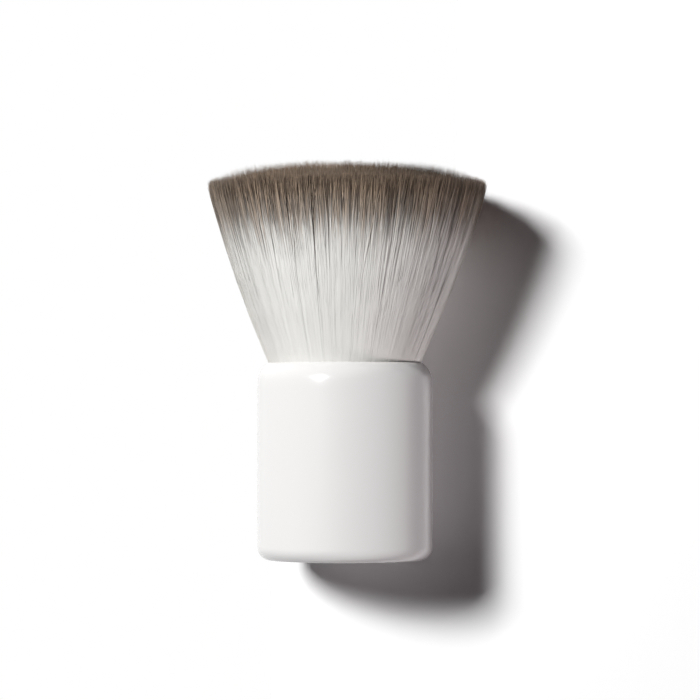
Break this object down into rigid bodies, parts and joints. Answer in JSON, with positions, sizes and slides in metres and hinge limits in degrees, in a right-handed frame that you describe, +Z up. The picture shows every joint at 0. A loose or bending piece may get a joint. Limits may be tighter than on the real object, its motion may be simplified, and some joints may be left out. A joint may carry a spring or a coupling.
{
  "type": "kabuki makeup brush",
  "caption": "Short kabuki makeup brush: weighted gloss cylinder handle with rounded shoulder and foot, and a dense flared filament head with a low crowned top for buffing powder.",
  "frame": {"origin": "centre of the foot, on the surface that the brush stands on", "axes": "+Z up the brush's axis, from the foot to the filament tips; X and Y are free about the axis"},
  "size_m": [0.0508, 0.0508, 0.0717],
  "materials": {
    "gloss_white_shell": "polished white moulding",
    "foam_pad": "matt foam",
    "turned_steel": "turned",
    "carrier_plastic": "natural moulding",
    "drawn_aluminium": "bright drawn",
    "cured_glue": "cured glue",
    "potting_resin": "cured resin",
    "binding_yarn": "wound thread",
    "filament": "fine synthetic filaments, white with brown dyed tips"
  },
  "bodies": {
    "root": {"handle_shell": "gloss_white_shell", "ballast_pad": "foam_pad", "ballast_weight": "turned_steel", "inner_carrier": "carrier_plastic", "ferrule_cup": "drawn_aluminium", "ferrule_adhesive": "cured_glue", "root_plug": "potting_resin", "binding_thread": "binding_yarn", "bristle_tuft": "filament"}
  },
  "joints": []
}
